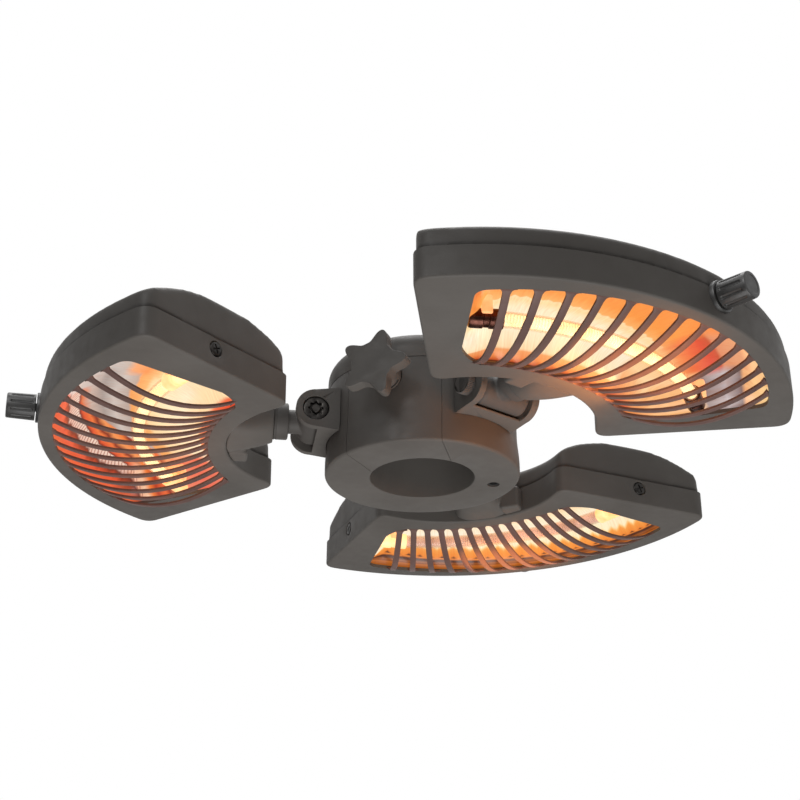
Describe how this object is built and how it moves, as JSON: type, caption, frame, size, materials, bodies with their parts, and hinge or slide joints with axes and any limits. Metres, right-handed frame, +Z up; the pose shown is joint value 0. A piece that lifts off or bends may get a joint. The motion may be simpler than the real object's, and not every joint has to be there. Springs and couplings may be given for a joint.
{
  "type": "parasol heater",
  "caption": "Round hub clamped on a parasol pole, carrying flat fan-shaped radiant heater heads on tilting arms, each with a slotted grille, reflector, glowing tube and power dial.",
  "frame": {"origin": "on the hub axis, in the plane of the hub's underside", "axes": "+Z up along the pole; the star knob of the clamp points to azimuth 249.5 degrees and the heads to -50.5, 69.5 and 189.5 degrees from +X"},
  "size_m": [0.553, 0.5528, 0.0888],
  "materials": {
    "housing": "warm dark grey powder coat, matt",
    "arm_metal": "darker warm grey powder coat, matt",
    "black_plastic": "matt black moulded",
    "black_steel": "blackened steel screws",
    "zinc_steel": "zinc plated screw",
    "rubber": "matt",
    "reflector": "bright reflector lit by the tube",
    "tube_glass": "quartz tube, glowing pale yellow",
    "ceramic": "matt"
  },
  "bodies": {
    "hub": {"hub_body": "housing", "hub_cap": "housing", "cable_grommet": "rubber", "bracket_right": "housing", "pivot_bolt_right": "black_steel", "pivot_nut_right": "black_steel", "bracket_back": "housing", "pivot_bolt_back": "black_steel", "pivot_nut_back": "black_steel", "bracket_left": "housing", "pivot_bolt_left": "black_steel", "pivot_nut_left": "black_steel"},
    "jaw": {"clamp_jaw": "housing"},
    "pad": {"clamp_pad": "rubber"},
    "knob": {"star_knob": "black_plastic", "clamp_screw": "zinc_steel"},
    "head_right": {"arm_right": "arm_metal", "collar_right": "arm_metal", "neck_right": "housing", "tray_right": "housing", "shell_right": "housing", "reflector_right": "reflector", "tube_right": "tube_glass", "holder_near_right": "ceramic", "holder_far_right": "ceramic", "switch_right": "black_plastic", "side_screw_near_right": "black_steel", "side_screw_far_right": "black_steel"},
    "dial_right": {"dial_right": "black_plastic"},
    "head_back": {"arm_back": "arm_metal", "collar_back": "arm_metal", "neck_back": "housing", "tray_back": "housing", "shell_back": "housing", "reflector_back": "reflector", "tube_back": "tube_glass", "holder_near_back": "ceramic", "holder_far_back": "ceramic", "switch_back": "black_plastic", "side_screw_near_back": "black_steel", "side_screw_far_back": "black_steel"},
    "dial_back": {"dial_back": "black_plastic"},
    "head_left": {"arm_left": "arm_metal", "collar_left": "arm_metal", "neck_left": "housing", "tray_left": "housing", "shell_left": "housing", "reflector_left": "reflector", "tube_left": "tube_glass", "holder_near_left": "ceramic", "holder_far_left": "ceramic", "switch_left": "black_plastic", "side_screw_near_left": "black_steel", "side_screw_far_left": "black_steel"},
    "dial_left": {"dial_left": "black_plastic"}
  },
  "joints": [
    {"name": "jaw_slide", "type": "slide", "parent": "hub", "child": "jaw", "axis": [-0.3502, -0.9367, 0], "range_m": [0, 0.045]},
    {"name": "pad_travel", "type": "slide", "parent": "jaw", "child": "pad", "axis": [0.3502, 0.9367, 0], "range_m": [0, 0.0095]},
    {"name": "screw_turn", "type": "hinge", "parent": "pad", "child": "knob", "pos_m": [-0.03152, -0.0843, 0.0513], "axis": [-0.3502, -0.9367, 0], "range_deg": [-2740, 0]},
    {"name": "tilt_right", "type": "hinge", "parent": "hub", "child": "head_right", "pos_m": [0.05184, -0.06289, 0.0387], "axis": [0.7716, 0.6361, 0], "range_deg": [0, 45]},
    {"name": "power_right", "type": "hinge", "parent": "head_right", "child": "dial_right", "pos_m": [0.19952, -0.21989, 0.03575], "axis": [0.7132, -0.7009, 0.0035], "range_deg": [-90, 0]},
    {"name": "tilt_back", "type": "hinge", "parent": "hub", "child": "head_back", "pos_m": [0.02854, 0.07634, 0.0387], "axis": [-0.9367, 0.3502, 0], "range_deg": [0, 45]},
    {"name": "power_back", "type": "hinge", "parent": "head_back", "child": "dial_back", "pos_m": [0.09063, 0.28265, 0.03162], "axis": [0.2503, 0.968, -0.0156], "range_deg": [-90, 0]},
    {"name": "tilt_left", "type": "hinge", "parent": "hub", "child": "head_left", "pos_m": [-0.08038, -0.01345, 0.0387], "axis": [0.165, -0.9863, 0], "range_deg": [0, 45]},
    {"name": "power_left", "type": "hinge", "parent": "head_left", "child": "dial_left", "pos_m": [-0.29014, -0.06284, 0.03312], "axis": [-0.9636, -0.2672, -0.0087], "range_deg": [-90, 0]}
  ],
  "couplings": [
    {"joint": "screw_turn", "follows": "pad_travel", "rad_per_m": -5026.5}
  ]
}
